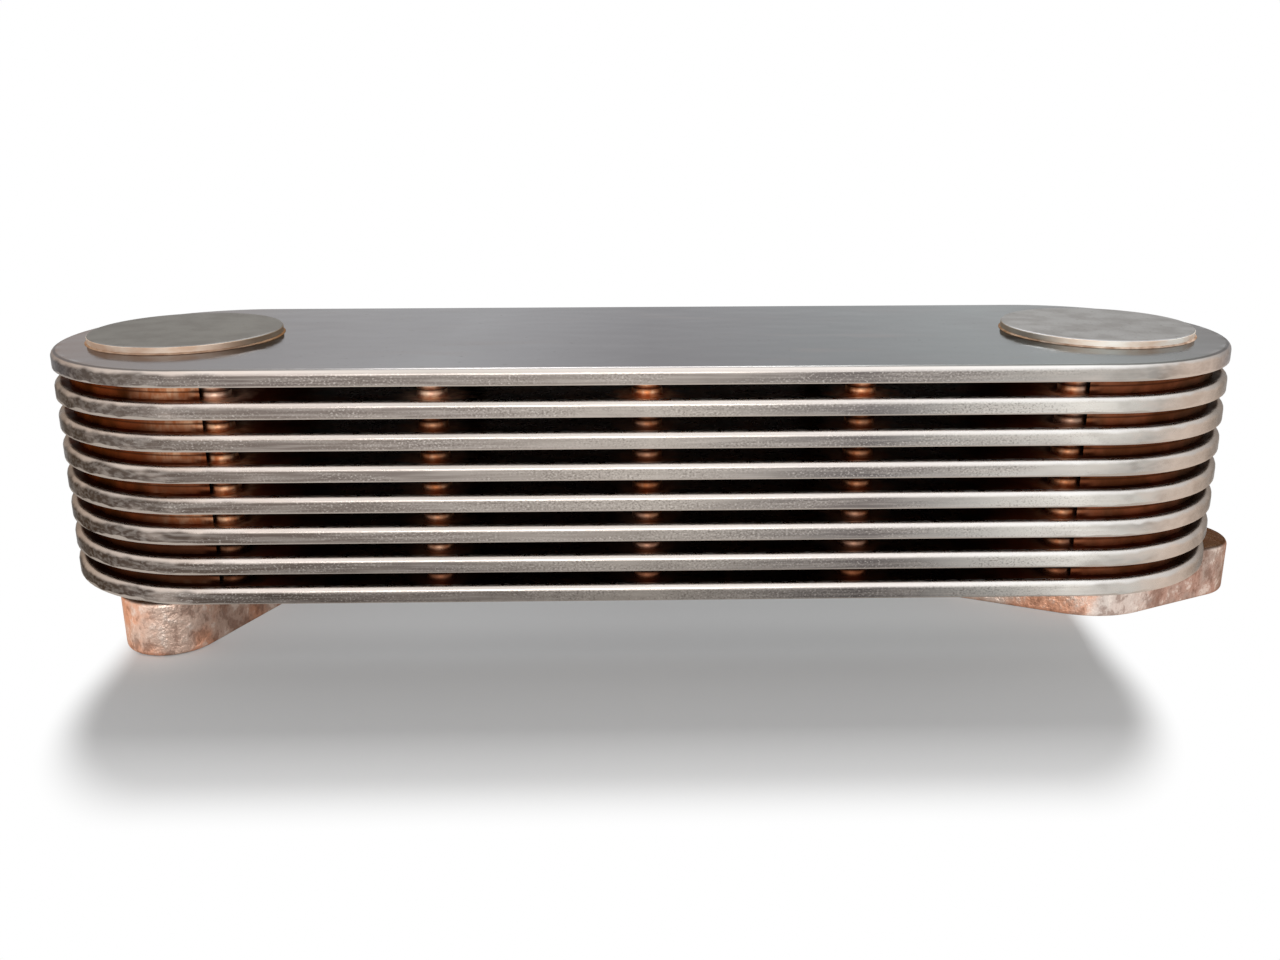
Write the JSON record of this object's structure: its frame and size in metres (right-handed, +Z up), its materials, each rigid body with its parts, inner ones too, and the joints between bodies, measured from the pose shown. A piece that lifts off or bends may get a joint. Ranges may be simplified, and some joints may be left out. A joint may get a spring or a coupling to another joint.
{
  "type": "oil cooler core",
  "caption": "Brazed stack of flat obround plate elements held apart by dimples, with round end discs above and rhombic bolted port flanges below.",
  "frame": {"origin": "centre of the inlet port on the seating face of its flange", "axes": "+X from the inlet port to the outlet port along the plates, +Z up through the stack, ports and bolt holes open along -Z"},
  "size_m": [0.31, 0.084, 0.0731],
  "materials": {
    "stainless_sheet": "satin pressed sheet",
    "fin_steel": "plain rolled strip",
    "disc_steel": "satin, copper at the brazed edge",
    "copper_washed_steel": "rough, copper-washed in the brazing furnace"
  },
  "bodies": {
    "root": {"upper_shell_1": "stainless_sheet", "upper_shell_2": "stainless_sheet", "upper_shell_3": "stainless_sheet", "upper_shell_4": "stainless_sheet", "upper_shell_5": "stainless_sheet", "upper_shell_6": "stainless_sheet", "upper_shell_7": "stainless_sheet", "upper_shell_8": "stainless_sheet", "lower_shell_1": "stainless_sheet", "lower_shell_2": "stainless_sheet", "lower_shell_3": "stainless_sheet", "lower_shell_4": "stainless_sheet", "lower_shell_5": "stainless_sheet", "lower_shell_6": "stainless_sheet", "lower_shell_7": "stainless_sheet", "lower_shell_8": "stainless_sheet", "turbulator_1": "fin_steel", "turbulator_2": "fin_steel", "turbulator_3": "fin_steel", "turbulator_4": "fin_steel", "turbulator_5": "fin_steel", "turbulator_6": "fin_steel", "turbulator_7": "fin_steel", "turbulator_8": "fin_steel", "inlet_cap_disc": "disc_steel", "outlet_cap_disc": "disc_steel", "inlet_flange": "copper_washed_steel", "outlet_flange": "copper_washed_steel"}
  },
  "joints": []
}
